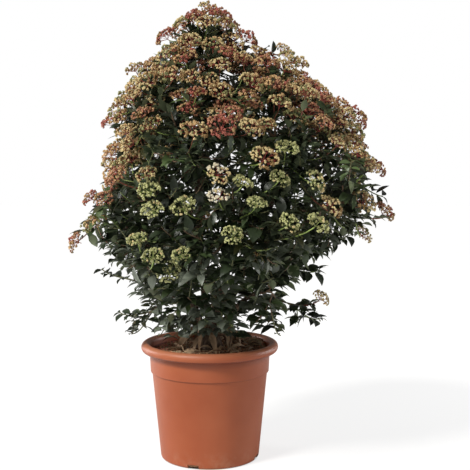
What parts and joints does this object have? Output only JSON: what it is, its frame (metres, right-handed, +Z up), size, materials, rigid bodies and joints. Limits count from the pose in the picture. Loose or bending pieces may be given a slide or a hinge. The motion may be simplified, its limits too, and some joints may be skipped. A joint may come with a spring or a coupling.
{
  "type": "potted shrub",
  "caption": "Flowering viburnum shrub with a rounded leafy crown and flat flower heads, growing in a round terracotta-coloured plastic pot with a rolled lip.",
  "frame": {"origin": "middle of the pot's flat underside, on the ground", "axes": "+Z up along the pot's axis, -Y towards the side the picture shows, +X to the right of that side, where the crown leans out furthest"},
  "size_m": [0.9983, 0.9753, 1.3907],
  "materials": {
    "pot_plastic": "satin",
    "potting_soil": "matte",
    "bark": "matte",
    "leaves": "satin"
  },
  "bodies": {
    "root": {"bough_crest_1": "bark", "bough_crest_2": "bark", "bough_crest_3": "bark", "bough_crest_4": "bark", "bough_shoulder_1": "bark", "bough_shoulder_2": "bark", "bough_shoulder_3": "bark", "bough_shoulder_4": "bark", "bough_shoulder_5": "bark", "bough_shoulder_6": "bark", "bough_skirt_1": "bark", "bough_skirt_2": "bark", "bough_skirt_3": "bark", "bough_skirt_4": "bark", "bough_skirt_5": "bark", "bough_top": "bark", "bough_waist_1": "bark", "bough_waist_2": "bark", "bough_waist_3": "bark", "bough_waist_4": "bark", "bough_waist_5": "bark", "bough_waist_6": "bark", "foliage_crest_1": "leaves", "foliage_crest_2": "leaves", "foliage_crest_3": "leaves", "foliage_crest_4": "leaves", "foliage_shoulder_1": "leaves", "foliage_shoulder_2": "leaves", "foliage_shoulder_3": "leaves", "foliage_shoulder_4": "leaves", "foliage_shoulder_5": "leaves", "foliage_shoulder_6": "leaves", "foliage_skirt_1": "leaves", "foliage_skirt_2": "leaves", "foliage_skirt_3": "leaves", "foliage_skirt_4": "leaves", "foliage_skirt_5": "leaves", "foliage_top": "leaves", "foliage_waist_1": "leaves", "foliage_waist_2": "leaves", "foliage_waist_3": "leaves", "foliage_waist_4": "leaves", "foliage_waist_5": "leaves", "foliage_waist_6": "leaves", "pot": "pot_plastic", "soil": "potting_soil", "trunk": "bark"}
  },
  "joints": []
}
